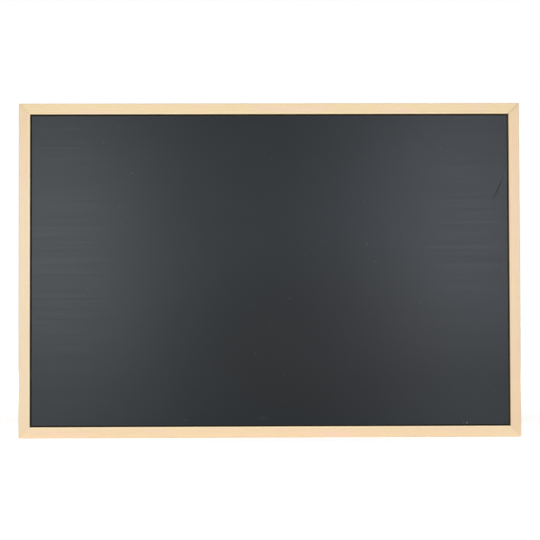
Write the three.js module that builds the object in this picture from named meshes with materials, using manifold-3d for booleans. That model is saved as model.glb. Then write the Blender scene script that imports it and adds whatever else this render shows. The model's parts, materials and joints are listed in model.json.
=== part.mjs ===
// A wall chalkboard in a mitred pine frame, 900 x 600 mm.
// A black lacquered steel sheet lies on a fibreboard core and a hardboard back. The stack drops into the
// frame's rabbet from behind, and flat steel points hold it there. V-nails pull each mitre together.
// Two strap hangers with swinging D-rings are screwed to the stiles, and two rubber bumpers space the
// board from the wall.
//
// Frame: millimetres, +X to the right, +Y from the writing side to the back, +Z up.
// The origin is on the underside of the bottom rail, at mid length and mid depth of the wood.

import * as THREE from 'three';
import { mergeVertices, toCreasedNormals } from 'three/addons/utils/BufferGeometryUtils.js';
import Module from 'manifold-3d';

const wasm = await Module();
wasm.setup();

// Board
const boardWidth = 900;
const boardHeight = 600;

// Section of the pine moulding
const railFace = 20; // width seen from the front
const rabbetWidth = 6; // how far the lip reaches over the panel
const lipThickness = 3.5; // wood in front of the writing sheet
const backRecess = 5.5; // from the panel points to the back of the frame
const outerArris = 1; // radii of the eased edges
const sightArris = 2;
const backArris = 0.6;
const cornerRadius = 1.5; // outer corners, sanded round
const mitreGap = 0.3; // open joint line at each corner

// Panel, from the writing side backwards
const panelPlay = 1; // between the panel's edge and the rabbet's wall
const panelCorner = 2; // corners nipped to clear the glue in the mitres
const glueLine = 0.1;
const sheetThickness = 0.4;
const coreThickness = 5;
const backThickness = 2.5;

// Room round a fastener, and between it and the piece that it holds
const fastenerClearance = 0.3;

// V-nails, as many across each mitre as the wood behind the rabbet takes
const nailArm = 4.2;
const nailHalfAngle = THREE.MathUtils.degToRad(50);
const nailGauge = 0.5;
const nailHeight = 10;
const nailSink = 0.3; // below the back of the frame
const nailInner = 1.9; // from the first nail's tip to the rabbet's wall, square to the wall
const nailOuter = 1.5; // least wood between the last nail and the frame's side
const nailPitch = 5.6; // from nail to nail, along either rail

// Panel points, driven into the rabbet's wall
const pointWidth = 7;
const pointBite = 4; // length in the wood
const pointReach = 11; // length over the panel
const pointGauge = 0.5;
const pointNose = 2; // radius of the corners at the blunt end
const pointMargin = 75; // from the frame's corner to the middle of the first point
const pointsOnStile = 3;
const pointsOnRail = 5;

// Strap hangers, one on the back of each stile
const hangerDrop = 120; // from the top edge to the ring's bar
const strapMargin = 1.5; // from the strap to the rabbet
const strapWidth = 9.4;
const strapGauge = 0.8;
const strapTail = 5; // from the last screw to the strap's end
const leafGap = 0.1; // between the strap's two leaves
const leafSetback = 1.4; // the upper leaf is shorter by this much
const wireDiameter = 2.2;
const ringPlay = 0.6; // from the strap to a leg of the ring
const ringReach = 12.1; // from the bar to the top of the bow, between wire centres
const ringCorner = 2;
const ringButtGap = 0.4; // where the wire's ends meet, inside the strap's eye
const barClearance = 0.3;

// Pan-head screws, two in each strap
const screwHeadDiameter = 6;
const screwHeadHeight = 2;
const screwShank = 2.9;
const screwLength = 12;
const screwTip = 3;
const screwPitch = 11;
const screwRoom = 1.3; // from the resting ring to the first screw's head
const crossWidth = 0.8;
const crossSpan = 3.2;
const crossDepth = 1.2;

// Bumpers, on the lower ends of the stiles
const bumperDiameter = 11;
const bumperHeight = 5;
const bumperTaper = 0.7; // loss of radius from foot to rim
const bumperRim = 1.2;
const bumperRise = 30; // from the frame's bottom edge

// Fineness of round shapes
const arrisSegments = 5;
const eyeSegments = 16;
const wireSides = 10;
const ringSteps = 56;
const roundSegments = 28;
const creaseAngle = THREE.MathUtils.degToRad(32);

// How far a cutting tool runs past the surface that it cuts
const overrun = 1;

// Sizes that follow from the ones above. Depths are measured from the frame's front face.
const sheetDepth = lipThickness + glueLine;
const coreDepth = sheetDepth + sheetThickness + glueLine;
const backDepth = coreDepth + coreThickness + glueLine;
const pointDepth = backDepth + backThickness + fastenerClearance;
const frameDepth = pointDepth + pointGauge + backRecess;
const frontY = -frameDepth / 2;
const backY = frameDepth / 2;
const landWidth = railFace - rabbetWidth; // flat wood at the back, from the frame's side to the rabbet
const panelInset = landWidth + panelPlay;

const wireRadius = wireDiameter / 2;
const eyeOuter = wireRadius + barClearance + strapGauge;
const strapTop = 2 * strapGauge + leafGap;
const strapInset = landWidth - strapMargin - strapWidth / 2;
const ringSide = strapWidth / 2 + ringPlay + wireRadius; // from the ring's middle to a leg's centre
const bowStart = ringReach - ringSide;
const screwHole = screwShank / 2 + fastenerClearance;
const firstScrew = ringReach + wireRadius + screwRoom + screwHeadDiameter / 2; // from the ring's bar
const screwPlaces = [firstScrew, firstScrew + screwPitch];
const strapLength = firstScrew + screwPitch + strapTail; // from the ring's bar to the tail

// The ring rests on the strap's edges, where its bow crosses them.
const bowOverEdge = bowStart + Math.sqrt(ringSide ** 2 - (strapWidth / 2) ** 2);
const ringRestAngle = Math.asin((strapTop + fastenerClearance + wireRadius - eyeOuter) / bowOverEdge);

const pine = new THREE.MeshStandardMaterial({ color: 0xefd6ac, roughness: 0.62, metalness: 0 });
const blackLacquer = new THREE.MeshStandardMaterial({ color: 0x35383a, roughness: 0.6, metalness: 0 });
const fibreboard = new THREE.MeshStandardMaterial({ color: 0xb4925f, roughness: 0.85, metalness: 0 });
const hardboard = new THREE.MeshStandardMaterial({ color: 0x7d5a38, roughness: 0.7, metalness: 0 });
const zincPlate = new THREE.MeshStandardMaterial({ color: 0xc9ccce, roughness: 0.35, metalness: 1 });
const springSteel = new THREE.MeshStandardMaterial({ color: 0x8f9498, roughness: 0.4, metalness: 1 });
const rubber = new THREE.MeshStandardMaterial({ color: 0x222222, roughness: 0.8, metalness: 0 });

// Solids and geometries

function solidFrom(geometry) {
  const bare = new THREE.BufferGeometry();
  bare.setAttribute('position', geometry.getAttribute('position'));
  bare.setIndex(geometry.index);
  const merged = mergeVertices(bare, 1e-4);
  const mesh = new wasm.Mesh({
    numProp: 3,
    vertProperties: merged.attributes.position.array,
    triVerts: new Uint32Array(merged.index.array),
  });
  return new wasm.Manifold(mesh);
}

function geometryFrom(solid) {
  const mesh = solid.getMesh();
  const positions = new Float32Array(mesh.numVert * 3);
  for (let i = 0; i < mesh.numVert; i++) {
    const start = i * mesh.numProp;
    positions.set(mesh.vertProperties.subarray(start, start + 3), i * 3);
  }
  const geometry = new THREE.BufferGeometry();
  geometry.setAttribute('position', new THREE.BufferAttribute(positions, 3));
  geometry.setIndex(new THREE.BufferAttribute(mesh.triVerts, 1));
  return geometry;
}

function cut(solid, tools) {
  return geometryFrom(tools.reduce((rest, tool) => rest.subtract(solidFrom(tool)), solid));
}

function named(name, geometry, material) {
  const mesh = new THREE.Mesh(toCreasedNormals(geometry, creaseAngle), material);
  mesh.name = name;
  return mesh;
}

// A shape drawn in x and z, given thickness between two values of y.
function plate(shape, nearY, farY, curveSegments = arrisSegments) {
  const depth = farY - nearY;
  const geometry = new THREE.ExtrudeGeometry(shape, { depth, bevelEnabled: false, curveSegments });
  return geometry.rotateX(Math.PI / 2).translate(0, farY, 0);
}

function roundedRectangle(left, bottom, width, height, radius) {
  const right = left + width;
  const top = bottom + height;
  const shape = new THREE.Shape();
  shape.moveTo(left + radius, bottom);
  shape.lineTo(right - radius, bottom);
  shape.absarc(right - radius, bottom + radius, radius, -Math.PI / 2, 0, false);
  shape.lineTo(right, top - radius);
  shape.absarc(right - radius, top - radius, radius, 0, Math.PI / 2, false);
  shape.lineTo(left + radius, top);
  shape.absarc(left + radius, top - radius, radius, Math.PI / 2, Math.PI, false);
  shape.lineTo(left, bottom + radius);
  shape.absarc(left + radius, bottom + radius, radius, Math.PI, Math.PI * 1.5, false);
  return shape;
}

function holeAlongY(radius, nearY, farY) {
  const bar = new THREE.CylinderGeometry(radius, radius, farY - nearY, roundSegments);
  return bar.translate(0, (nearY + farY) / 2, 0);
}

// Frame. Each side is drawn as the left stile stands, with x inward from the frame's side, y from the
// front face to the back, and z along the rail from the corner that it starts at. Its group turns it
// onto its side of the board.

function railSection() {
  const section = new THREE.Shape();
  section.moveTo(outerArris, 0);
  section.lineTo(railFace - sightArris, 0);
  section.absarc(railFace - sightArris, sightArris, sightArris, -Math.PI / 2, 0, false);
  section.lineTo(railFace, lipThickness);
  section.lineTo(landWidth, lipThickness);
  section.lineTo(landWidth, frameDepth - backArris);
  section.lineTo(landWidth - backArris, frameDepth);
  section.lineTo(backArris, frameDepth);
  section.absarc(backArris, frameDepth - backArris, backArris, Math.PI / 2, Math.PI, false);
  section.lineTo(0, outerArris);
  section.absarc(outerArris, outerArris, outerArris, Math.PI, Math.PI * 1.5, false);
  return section;
}

function mitredBlank(length) {
  const blank = new THREE.ExtrudeGeometry(railSection(), {
    depth: length,
    bevelEnabled: false,
    curveSegments: arrisSegments,
  });
  const position = blank.getAttribute('position');
  for (let i = 0; i < position.count; i++) {
    const mitre = position.getX(i) + mitreGap / Math.SQRT2;
    const atStart = position.getZ(i) < length / 2;
    position.setZ(i, atStart ? mitre : length - mitre);
  }
  return blank;
}

// Places of the V-nails' tips along the mitre, as distances from both sides of the frame.
function nailSeats() {
  const armReach = nailArm * Math.cos(nailHalfAngle - Math.PI / 4);
  const seats = [];
  for (let seat = landWidth - nailInner; seat - armReach >= nailOuter; seat -= nailPitch) {
    seats.push(seat);
  }
  return seats;
}

// A V-nail in plan: its tip points to the rabbet along the mitre, and an arm lies in either rail.
function nailPlan(seat, grow) {
  const arm = nailArm + grow;
  const half = nailGauge / 2 + grow;
  const sin = Math.sin(nailHalfAngle);
  const cos = Math.cos(nailHalfAngle);
  const outerEnd = [half * sin - arm * cos, arm * sin + half * cos];
  const innerEnd = [-half * sin - arm * cos, arm * sin - half * cos];
  const alongMitre = [
    [half / sin, 0],
    outerEnd,
    innerEnd,
    [-half / sin, 0],
    [innerEnd[0], -innerEnd[1]],
    [outerEnd[0], -outerEnd[1]],
  ];
  const points = alongMitre.map(([along, across]) => new THREE.Vector2(
    seat + (along - across) / Math.SQRT2,
    seat + (along + across) / Math.SQRT2,
  ));
  return new THREE.Shape(points);
}

function nail(seat) {
  const topY = frameDepth - nailSink;
  return plate(nailPlan(seat, 0), topY - nailHeight, topY);
}

function nailSlot(seat) {
  const floorY = frameDepth - nailSink - nailHeight - fastenerClearance;
  return plate(nailPlan(seat, fastenerClearance), floorY, frameDepth + overrun);
}

// A panel point in plan: a sharp end in the wood, and a blunt end with round corners over the panel.
function pointPlan(middle, grow) {
  const half = pointWidth / 2 + grow;
  const tip = landWidth - pointBite - grow;
  const end = landWidth + pointReach;
  const shape = new THREE.Shape();
  shape.moveTo(tip, middle);
  shape.lineTo(landWidth, middle - half);
  shape.lineTo(end - pointNose, middle - half);
  shape.absarc(end - pointNose, middle - half + pointNose, pointNose, -Math.PI / 2, 0, false);
  shape.lineTo(end, middle + half - pointNose);
  shape.absarc(end - pointNose, middle + half - pointNose, pointNose, 0, Math.PI / 2, false);
  shape.lineTo(landWidth, middle + half);
  return shape;
}

function pointPlaces(length, count) {
  const pitch = (length - 2 * pointMargin) / (count - 1);
  return Array.from({ length: count }, (_, i) => pointMargin + i * pitch);
}

function panelPoint(middle) {
  return plate(pointPlan(middle, 0), pointDepth, pointDepth + pointGauge);
}

function pointSlot(middle) {
  const nearY = pointDepth - fastenerClearance;
  const farY = pointDepth + pointGauge + fastenerClearance;
  return plate(pointPlan(middle, fastenerClearance), nearY, farY);
}

function pilotHole(along) {
  const floorY = frameDepth + strapTop - screwLength - fastenerClearance;
  return holeAlongY(screwHole, floorY, frameDepth + overrun).translate(strapInset, 0, along);
}

function rail(length, pointCount, screwsAlong) {
  const outline = roundedRectangle(0, 0, 2 * railFace, length, cornerRadius);
  const corners = plate(outline, -overrun, frameDepth + overrun);
  const slotsAtStart = nailSeats().map((seat) => nailSlot(seat));
  const slotsAtEnd = nailSeats().map(
    (seat) => nailSlot(seat).rotateY(Math.PI / 2).translate(0, 0, length),
  );
  const pointSlots = pointPlaces(length, pointCount).map((middle) => pointSlot(middle));
  const pilotHoles = screwsAlong.map((along) => pilotHole(along));
  const rounded = solidFrom(mitredBlank(length)).intersect(solidFrom(corners));
  return cut(rounded, [...slotsAtStart, ...slotsAtEnd, ...pointSlots, ...pilotHoles]);
}

function frameSide({ railName, side, startCorner, length, pointCount, screwsAlong, turn, x, z }) {
  const group = new THREE.Group();
  group.position.set(x, frontY, z);
  group.rotation.y = turn;
  group.add(named(railName, rail(length, pointCount, screwsAlong), pine));
  nailSeats().forEach((seat, i) => {
    group.add(named(`v_nail_${startCorner}_${i + 1}`, nail(seat), springSteel));
  });
  pointPlaces(length, pointCount).forEach((middle, i) => {
    group.add(named(`panel_point_${side}_${i + 1}`, panelPoint(middle), springSteel));
  });
  return group;
}

// Panel

function layer(depth, thickness) {
  const width = boardWidth - 2 * panelInset;
  const height = boardHeight - 2 * panelInset;
  const outline = roundedRectangle(-width / 2, panelInset, width, height, panelCorner);
  return plate(outline, frontY + depth, frontY + depth + thickness);
}

// Hangers. The group of each stands on the back of its stile, behind the middle of the ring's bar.

// The strap from its side, with x along it, away from the tail, and y out from the wood: a leaf on the
// wood, an eye rolled round the bar, and a second leaf that comes back over the first.
function strapEdge() {
  const half = strapGauge / 2;
  const eyeMiddle = eyeOuter - half;
  const leafMiddle = strapGauge + leafGap + half;
  const neck = eyeOuter - leafMiddle; // radius of the bend between the eye and the upper leaf
  const neckX = -eyeMiddle - neck;
  const upperEnd = leafSetback - strapLength;
  const edge = new THREE.Shape();
  edge.moveTo(-strapLength, 0);
  edge.lineTo(0, 0);
  edge.absarc(0, eyeOuter, eyeOuter, -Math.PI / 2, Math.PI, false);
  edge.absarc(neckX, eyeOuter, neck - half, 0, -Math.PI / 2, true);
  edge.lineTo(upperEnd, strapTop);
  edge.lineTo(upperEnd, strapGauge + leafGap);
  edge.lineTo(neckX, strapGauge + leafGap);
  edge.absarc(neckX, eyeOuter, neck + half, -Math.PI / 2, 0, false);
  edge.absarc(0, eyeOuter, eyeOuter - strapGauge, Math.PI, -Math.PI / 2, true);
  edge.lineTo(-strapLength, strapGauge);
  return edge;
}

function strap() {
  const folded = new THREE.ExtrudeGeometry(strapEdge(), {
    depth: strapWidth,
    bevelEnabled: false,
    curveSegments: eyeSegments,
  });
  folded.rotateY(-Math.PI / 2).translate(strapWidth / 2, 0, 0);
  const tailRadius = 0.499 * strapWidth;
  const outline = roundedRectangle(
    -strapWidth / 2, -strapLength, strapWidth, 2 * strapLength, tailRadius,
  );
  const roundTail = plate(outline, -overrun, 2 * eyeOuter + overrun);
  const holes = screwPlaces.map(
    (along) => holeAlongY(screwHole, -overrun, strapTop + overrun).translate(0, 0, -along),
  );
  return cut(solidFrom(folded).intersect(solidFrom(roundTail)), holes);
}

// One length of wire in the plane y = 0: half of the bar, a leg, the bow, the other leg and half a bar.
function ring() {
  const corner = ringSide - ringCorner;
  const outline = new THREE.Path();
  outline.moveTo(ringButtGap / 2, 0);
  outline.lineTo(corner, 0);
  outline.absarc(corner, -ringCorner, ringCorner, Math.PI / 2, 0, true);
  outline.lineTo(ringSide, -bowStart);
  outline.absarc(0, -bowStart, ringSide, 0, -Math.PI, true);
  outline.lineTo(-ringSide, -ringCorner);
  outline.absarc(-corner, -ringCorner, ringCorner, Math.PI, Math.PI / 2, true);
  outline.lineTo(-ringButtGap / 2, 0);
  const bends = outline.getSpacedPoints(ringSteps).map((point) => new THREE.Vector3(point.x, 0, point.y));
  return new THREE.ExtrudeGeometry(new THREE.Shape().absarc(0, 0, wireRadius, 0, Math.PI * 2, false), {
    steps: ringSteps,
    extrudePath: new THREE.CatmullRomCurve3(bends, false, 'centripetal'),
    bevelEnabled: false,
    curveSegments: wireSides / 2,
  });
}

function screw() {
  const headRadius = screwHeadDiameter / 2;
  const shankRadius = screwShank / 2;
  const topY = strapTop + screwHeadHeight;
  const domeHeight = screwHeadHeight * 0.55;
  const tipY = strapTop - screwLength;
  const profile = new THREE.Path();
  profile.moveTo(0, tipY);
  profile.lineTo(shankRadius, tipY + screwTip);
  profile.lineTo(shankRadius, strapTop);
  profile.lineTo(headRadius, strapTop);
  profile.lineTo(headRadius, topY - domeHeight);
  profile.absellipse(0, topY - domeHeight, headRadius, domeHeight, 0, Math.PI / 2, false);
  const turned = new THREE.LatheGeometry(profile.getPoints(arrisSegments), roundSegments);
  const crossSlots = [Math.PI / 4, -Math.PI / 4].map((turn) => {
    const slot = new THREE.BoxGeometry(crossSpan, 2 * crossDepth, crossWidth);
    return slot.rotateY(turn).translate(0, topY, 0);
  });
  return cut(solidFrom(turned), crossSlots);
}

function hanger(side, x) {
  const group = new THREE.Group();
  group.position.set(x, backY, boardHeight - hangerDrop);
  group.add(named(`${side}_hanger_strap`, strap(), zincPlate));
  const swingingRing = named(`${side}_hanger_ring`, ring(), zincPlate);
  swingingRing.position.y = eyeOuter;
  swingingRing.rotation.x = ringRestAngle;
  group.add(swingingRing);
  ['upper', 'lower'].forEach((place, i) => {
    const fixing = named(`${side}_hanger_screw_${place}`, screw(), zincPlate);
    fixing.position.z = -screwPlaces[i];
    group.add(fixing);
  });
  return group;
}

// Bumpers

function bumper() {
  const rimRadius = bumperDiameter / 2 - bumperTaper;
  const profile = new THREE.Path();
  profile.moveTo(0, 0);
  profile.lineTo(bumperDiameter / 2, 0);
  profile.lineTo(rimRadius, bumperHeight - bumperRim);
  profile.absarc(rimRadius - bumperRim, bumperHeight - bumperRim, bumperRim, 0, Math.PI / 2, false);
  profile.lineTo(0, bumperHeight);
  return new THREE.LatheGeometry(profile.getPoints(arrisSegments), roundSegments);
}

// The whole board. The sides of the frame follow each other clockwise, as seen from the front.

const screwHeights = screwPlaces.map((along) => boardHeight - hangerDrop - along);
const screwDrops = screwPlaces.map((along) => hangerDrop + along);
const sides = [
  {
    railName: 'left_stile', side: 'left', startCorner: 'bottom_left',
    length: boardHeight, pointCount: pointsOnStile, screwsAlong: screwHeights,
    turn: 0, x: -boardWidth / 2, z: 0,
  },
  {
    railName: 'top_rail', side: 'top', startCorner: 'top_left',
    length: boardWidth, pointCount: pointsOnRail, screwsAlong: [],
    turn: Math.PI / 2, x: -boardWidth / 2, z: boardHeight,
  },
  {
    railName: 'right_stile', side: 'right', startCorner: 'top_right',
    length: boardHeight, pointCount: pointsOnStile, screwsAlong: screwDrops,
    turn: Math.PI, x: boardWidth / 2, z: boardHeight,
  },
  {
    railName: 'bottom_rail', side: 'bottom', startCorner: 'bottom_right',
    length: boardWidth, pointCount: pointsOnRail, screwsAlong: [],
    turn: -Math.PI / 2, x: boardWidth / 2, z: 0,
  },
];

const chalkboard = new THREE.Group();
for (const side of sides) {
  chalkboard.add(frameSide(side));
}
chalkboard.add(named('chalk_sheet', layer(sheetDepth, sheetThickness), blackLacquer));
chalkboard.add(named('core_board', layer(coreDepth, coreThickness), fibreboard));
chalkboard.add(named('back_panel', layer(backDepth, backThickness), hardboard));
for (const [side, direction] of [['left', -1], ['right', 1]]) {
  chalkboard.add(hanger(side, direction * (boardWidth / 2 - strapInset)));
  const foot = named(`${side}_bumper`, bumper(), rubber);
  foot.position.set(direction * (boardWidth / 2 - landWidth / 2), backY, bumperRise);
  chalkboard.add(foot);
}

export default chalkboard;
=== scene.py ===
# Dresses the framed chalkboard: finishes, finely made mouldings and hardware, studio light and camera.
# Sizes are in millimetres unless a name or note says otherwise, and mm turns them into Blender's metres.
import json
import math

import bmesh
import bpy
from mathutils import Matrix, Vector


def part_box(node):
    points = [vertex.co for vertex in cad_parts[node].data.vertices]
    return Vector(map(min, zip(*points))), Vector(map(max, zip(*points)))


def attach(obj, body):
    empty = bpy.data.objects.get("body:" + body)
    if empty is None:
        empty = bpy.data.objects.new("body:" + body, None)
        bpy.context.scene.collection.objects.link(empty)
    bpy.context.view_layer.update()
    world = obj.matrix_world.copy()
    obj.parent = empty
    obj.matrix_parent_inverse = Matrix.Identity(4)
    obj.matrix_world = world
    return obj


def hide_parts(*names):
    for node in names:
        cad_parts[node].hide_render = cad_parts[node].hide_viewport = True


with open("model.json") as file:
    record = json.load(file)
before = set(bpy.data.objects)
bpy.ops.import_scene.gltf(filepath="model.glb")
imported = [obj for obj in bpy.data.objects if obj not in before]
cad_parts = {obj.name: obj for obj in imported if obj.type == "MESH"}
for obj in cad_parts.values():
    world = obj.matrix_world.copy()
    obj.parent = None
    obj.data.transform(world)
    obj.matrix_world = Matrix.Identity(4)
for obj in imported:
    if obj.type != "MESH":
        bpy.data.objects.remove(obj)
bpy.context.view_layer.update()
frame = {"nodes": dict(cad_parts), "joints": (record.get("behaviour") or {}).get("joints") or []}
cadNodes = frame["nodes"]
mm = 0.001
print("frame loaded:", len(cadNodes), "nodes")

# What the pieces are built round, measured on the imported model
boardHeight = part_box("top_rail")[1].z / mm
boardWidth = -2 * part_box("left_stile")[0].x / mm
railLow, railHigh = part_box("bottom_rail")
railFace = (railHigh.z - railLow.z) / mm
frontY, backY = railLow.y / mm, railHigh.y / mm

cutRoom = 1  # how far a cutter reaches past what it cuts
weld = 0.002  # points nearer than this are one
softly = {"interpolation_type": "SMOOTHSTEP"}  # settings of a range that eases in and out
inColour = {"output": 2, "data_type": "RGBA"}  # and of a mix of two colours


# Nodes, materials and meshes

def colour(hexCode):
    # sRGB hex to the linear colour that a socket takes
    channels = [int(hexCode[i:i + 2], 16) / 255 for i in (1, 3, 5)]
    return (*[c / 12.92 if c <= 0.04045 else ((c + 0.055) / 1.055) ** 2.4 for c in channels], 1)


def addNode(tree, kind, inputs=(), output=0, **settings):
    # adds a node, sets or links its inputs, hex colours too, and gives back the output that is wanted; the
    # inputs are a dictionary, or a row of the first ones
    node = tree.nodes.new("ShaderNode" + kind)
    for name, value in settings.items():
        setattr(node, name, value)
    for socket, value in (inputs.items() if isinstance(inputs, dict) else enumerate(inputs)):
        if isinstance(value, bpy.types.NodeSocket):
            tree.links.new(value, node.inputs[socket])
        else:
            node.inputs[socket].default_value = colour(value) if isinstance(value, str) else value
    return node.outputs[output] if node.outputs else node


def newMaterial(name):
    material = bpy.data.materials.new(name)
    material.use_nodes = True
    material.node_tree.nodes.clear()
    return material, material.node_tree


def addSurface(tree, inputs, roughness, relief=None):
    # a material's surface: a pattern and the roughness at its least and most, and a pattern that stands out
    # with a strength and a depth
    pattern, (smoothest, roughest) = roughness
    inputs["Roughness"] = addNode(tree, "MapRange", [pattern, 0, 1, smoothest, roughest])
    if relief:
        pattern, (strength, deep) = relief
        bump = {"Height": pattern, "Strength": strength, "Distance": deep * mm}
        inputs["Normal"] = addNode(tree, "Bump", bump)
    addNode(tree, "OutputMaterial", {"Surface": addNode(tree, "BsdfPrincipled", inputs)})


def millimetres(tree):
    # a point's place in the board's own frame, in millimetres
    place = addNode(tree, "TexCoord", output="Object")
    return addNode(tree, "VectorMath", {0: place, "Scale": 1 / mm}, operation="SCALE")


def inUnits(tree, place, sizes, shift=(0, 0, 0)):
    # coordinates in which one unit is a pattern's own size along each axis
    shares = [1 / size for size in sizes]
    return addNode(tree, "Mapping", {"Vector": place, "Location": shift, "Scale": shares})


def stretchedDistance(tree, place, centre, reach, turn=0):
    # distance from a centre in shares of a reach that has a length along each axis and can be turned
    moved = addNode(tree, "VectorMath", [place, centre], operation="SUBTRACT")
    if turn:
        moved = addNode(tree, "VectorRotate", {"Vector": moved, "Angle": -math.radians(turn)},
                        rotation_type="Z_AXIS")
    shares = addNode(tree, "VectorMath", [moved, [1 / size for size in reach]], operation="MULTIPLY")
    return addNode(tree, "VectorMath", [shares], "Value", operation="LENGTH")


def inScene(name, data):
    # an object of its own in the scene
    made = bpy.data.objects.new(name, data)
    bpy.context.scene.collection.objects.link(made)
    return made


def piece(name, mesh, material, stands=(), body="board", evenNormals=False):
    # makes a piece that rides on a body, and stands for the nodes that it replaces
    made = inScene(name, mesh)
    mesh.materials.clear()
    mesh.materials.append(material)
    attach(made, body)
    if stands:
        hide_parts(*stands)
    if evenNormals:
        made.modifiers.new("evenNormals", "WEIGHTED_NORMAL").keep_sharp = True


def meshFrom(name, points, faces):
    mesh = bpy.data.meshes.new(name)
    mesh.from_pydata([Vector(point) * mm for point in points], [], faces)
    mesh.update()
    return mesh


def tidied(mesh, sharpAngle=32, join=weld):
    # one surface with outward normals, smooth but for its edges
    work = bmesh.new()
    work.from_mesh(mesh)
    bmesh.ops.remove_doubles(work, verts=work.verts, dist=join * mm)
    bmesh.ops.dissolve_degenerate(work, edges=work.edges, dist=join * mm)
    bmesh.ops.recalc_face_normals(work, faces=work.faces)
    work.to_mesh(mesh)
    work.free()
    mesh.shade_smooth()
    mesh.set_sharp_from_angle(angle=math.radians(sharpAngle))
    return mesh


def worked(mesh, steps):
    # runs modifiers on a mesh and gives back the result; a step is a modifier's type and its settings
    scratch = inScene("scratch", mesh)
    for kind, settings in steps:
        modifier = scratch.modifiers.new(kind, kind)
        for name, value in settings.items():
            setattr(modifier, name, value)
    graph = bpy.context.evaluated_depsgraph_get()
    result = bpy.data.meshes.new_from_object(scratch.evaluated_get(graph))
    result.name = mesh.name
    bpy.data.objects.remove(scratch)
    return result


def easing(width, segments=2, angle=40):
    # a step that rounds every edge sharper than the angle
    return "BEVEL", {"width": width * mm, "segments": segments, "limit_method": "ANGLE",
                     "angle_limit": math.radians(angle), "use_clamp_overlap": True}


def cutBy(mesh, cutters):
    # takes each cutter mesh away from the mesh
    tools = [inScene("cutter", cutter) for cutter in cutters]
    steps = [("BOOLEAN", {"object": tool, "operation": "DIFFERENCE", "solver": "EXACT"}) for tool in tools]
    result = worked(mesh, steps)
    for tool in tools:
        bpy.data.objects.remove(tool)
    return result


def arc(centre, radius, start, end, steps):
    # points on an arc, with its angles in degrees
    angles = [math.radians(start + (end - start) * i / steps) for i in range(steps + 1)]
    return [(centre[0] + radius * math.cos(a), centre[1] + radius * math.sin(a)) for a in angles]


def skin(rows, firstRow=0):
    # faces that join each closed row of points to the next; the points are numbered row after row
    faces = []
    wide = len(rows[0])
    for row in range(len(rows) - 1):
        for i in range(wide):
            j = (i + 1) % wide
            low = firstRow + row * wide
            high = low + wide
            faces.append((low + i, low + j, high + j, high + i))
    return faces


def capped(name, rows, sharpAngle=32):
    # a body through closed rows of points, with a flat face at each end
    wide = len(rows[0])
    last = wide * (len(rows) - 1)
    ends = [tuple(range(wide)), tuple(range(last, last + wide))]
    points = [point for row in rows for point in row]
    return tidied(meshFrom(name, points, ends + skin(rows)), sharpAngle)


def prism(name, outline, nearY, farY):
    # an outline in x and z, with thickness along y
    return capped(name, [[(x, y, z) for x, z in outline] for y in (nearY, farY)])


def turned(name, rings, low, high):
    # a body round the y axis through rings of (height, radii), closed by a point at each end
    wide = len(rings[0][1])
    angles = [2 * math.pi * i / wide for i in range(wide)]
    rows = [[(r * math.cos(a), height, r * math.sin(a)) for r, a in zip(radii, angles)]
            for height, radii in rings]
    last = 2 + wide * (len(rows) - 1)
    faces = skin(rows, 2)
    for i in range(wide):
        j = (i + 1) % wide
        faces += [(0, 2 + i, 2 + j), (1, last + j, last + i)]
    points = [(0, low, 0), (0, high, 0)] + [point for row in rows for point in row]
    return tidied(meshFrom(name, points, faces))


# Finishes. Of four values for a look, the first two are levels of its pattern and the others are what shows
# at them. Two values for a roughness are its least and most.

pine = {
    "ringSpacing": 2.7,  # between growth rings on the face
    "ringDrift": 2.2,  # how far a ring wanders sideways
    "driftSize": (260, 40, 40),  # over what length, width and depth
    "ringTilt": 0.4,  # slope of the rings through the thickness
    "lateWood": (0.45, 0.97),  # where in a ring the darker late wood begins and is full
    "lateShows": (0.3, 0.75, 0.12, 0.62),  # and how strongly, from one fibre to the next
    "fibreSize": (70, 1.3, 1.3),  # real fibres are finer; this is as coarse as the render shows
    "fibreTones": (0.25, 0.75, 0.955, 1.03),  # darkest and lightest fibre
    "patchSize": (90, 14, 14),  # soft flushes of pink
    "patchShows": (0.48, 0.68, 0, 0.65),
    "canalSize": (9, 0.5, 0.5),  # resin canals, short dark dashes
    "canalTone": "#B98A58",
    "canalShows": (0.79, 0.84, 0, 0.3),
    "sightHighlight": (3, 2.2),  # from the sheet: its rounding, with a painted highlight paler than the face
    "sightHighlightTone": "#FFEFC4",
    "shadedOuterStrip": (0.2, 1.4),  # the outer edge is a little darker: painted shade on its rounding
    "shadedOuterTone": "#DDB184",
    "shadedOuterShows": 0.35,
    "lipShadeStrip": 1.6,  # painted shade darkens the wood where the lip meets the sheet
    "lipShadeTone": "#6A5214",
    "lipShadeShows": 0.9,
    "endReach": (30, 190),  # where a length's tone drifts towards its end: painted light, paler at the bottom and darker at the top
    "roughness": (0.4, 0.54),
    "relief": (0.5, 0.03),  # strength and depth
    "lateRelief": 0.4,  # how far late wood stands out, against a fibre
    "shift": 7.3,  # between the patterns of one length and the next
}

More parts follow.
